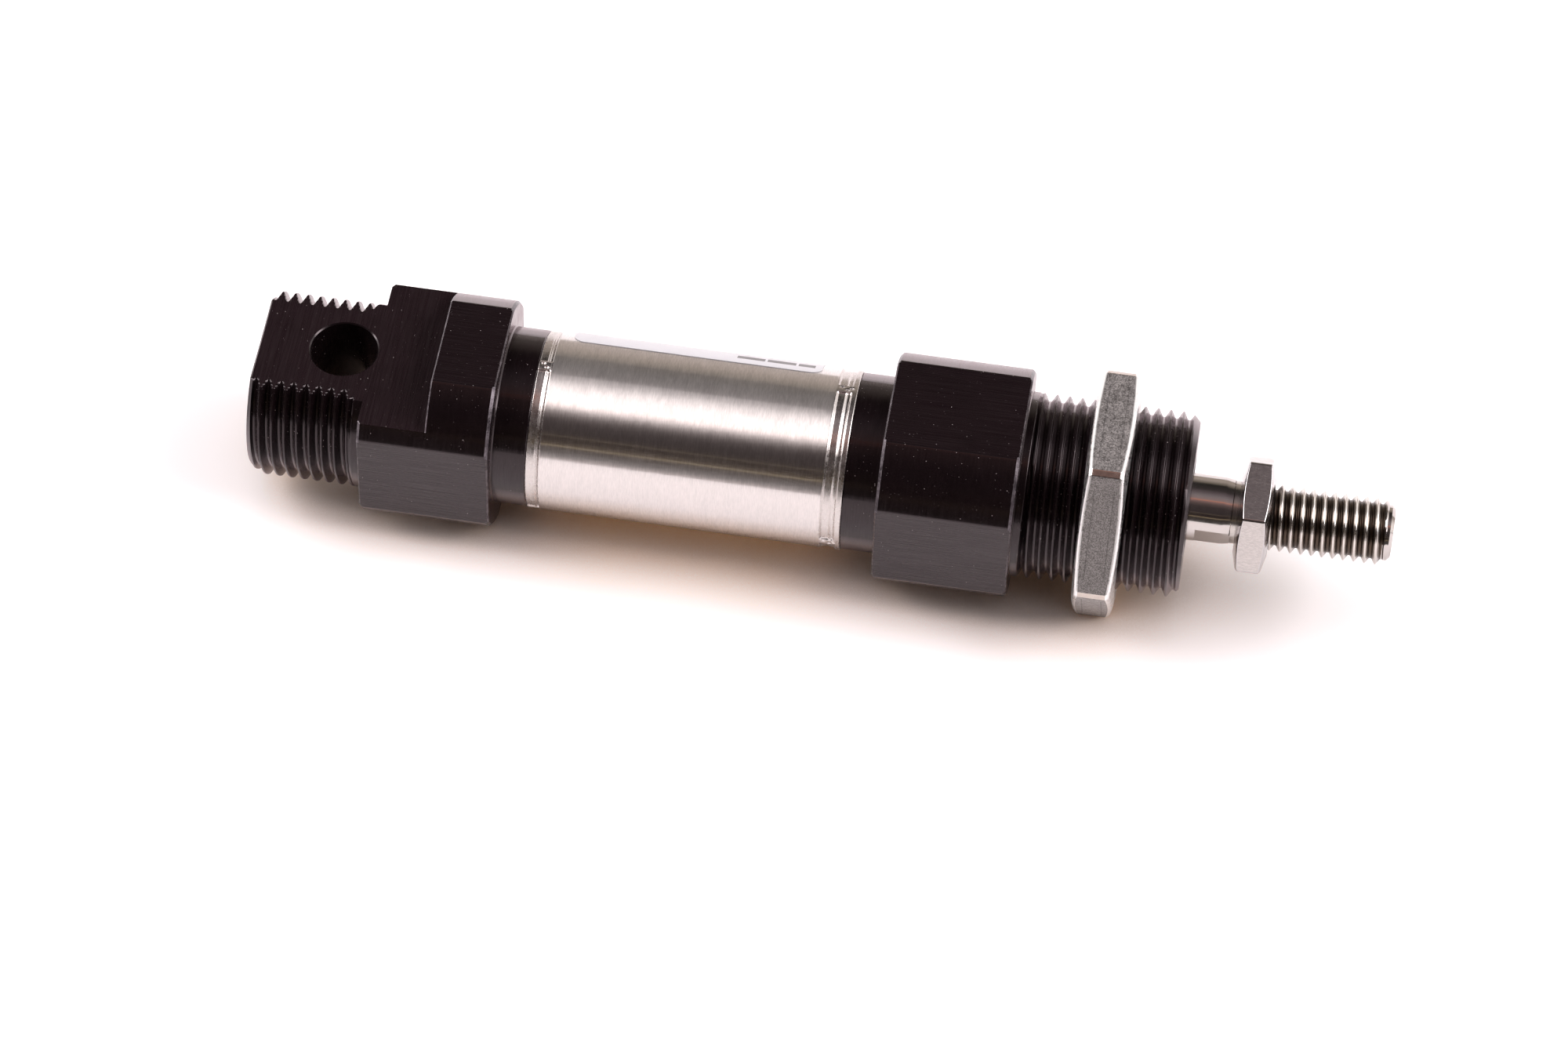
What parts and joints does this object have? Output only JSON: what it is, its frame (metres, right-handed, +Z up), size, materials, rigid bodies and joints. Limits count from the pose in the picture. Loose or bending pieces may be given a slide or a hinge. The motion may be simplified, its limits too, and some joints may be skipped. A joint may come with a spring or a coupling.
{
  "type": "round pneumatic cylinder",
  "caption": "Round double-acting mini air cylinder with a threaded rear eye, threaded nose with hex nut, crimped steel barrel and a threaded rod with lock nut.",
  "frame": {"origin": "centre of the pin hole in the rear eye", "axes": "+X along the cylinder from the rear eye to the rod end, +Z up along the pin hole, +Y towards the side with the two ports"},
  "size_m": [0.135, 0.0312, 0.027],
  "materials": {
    "black_cover": "black anodised, semi-gloss",
    "stainless_barrel": "satin, brushed round the tube",
    "polished_rod": "polished stainless steel",
    "nut_steel": "grained flats with bright chamfers",
    "bright_nut": "bright plated steel",
    "piston_metal": "turned aluminium",
    "seal_rubber": "matt black rubber",
    "bumper_rubber": "matt elastomer",
    "bushing": "sintered bronze",
    "guide_band": "filled plastic",
    "ring_magnet": "matt ferrite",
    "label_film": "silvery printed film without text"
  },
  "bodies": {
    "cylinder": {"rear_cover": "black_cover", "front_cover": "black_cover", "barrel": "stainless_barrel", "rear_barrel_o_ring": "seal_rubber", "front_barrel_o_ring": "seal_rubber", "rod_bushing": "bushing", "rod_seal": "seal_rubber", "label": "label_film"},
    "guide": {"guide_ring": "guide_band"},
    "rod": {"piston_rod": "polished_rod", "piston_front": "piston_metal", "piston_rear": "piston_metal", "piston_o_ring": "seal_rubber", "magnet": "ring_magnet", "front_piston_seal": "seal_rubber", "rear_piston_seal": "seal_rubber", "front_bumper": "bumper_rubber", "rear_bumper": "bumper_rubber", "piston_nut": "bright_nut"},
    "nose_nut": {"mounting_nut": "nut_steel"},
    "lock_nut": {"rod_nut": "bright_nut"}
  },
  "joints": [
    {"name": "rod_slide", "type": "slide", "parent": "cylinder", "child": "guide", "axis": [1, 0, 0], "range_m": [0, 0.01]},
    {"name": "rod_turn", "type": "hinge", "parent": "guide", "child": "rod", "pos_m": [0.0451, 0, 0], "axis": [1, 0, 0], "continuous": true},
    {"name": "mounting_nut_turn", "type": "hinge", "parent": "cylinder", "child": "nose_nut", "pos_m": [0.0912, 0, 0], "axis": [1, 0, 0], "continuous": true},
    {"name": "rod_nut_turn", "type": "hinge", "parent": "rod", "child": "lock_nut", "pos_m": [0.1087, 0, 0], "axis": [1, 0, 0], "continuous": true}
  ]
}
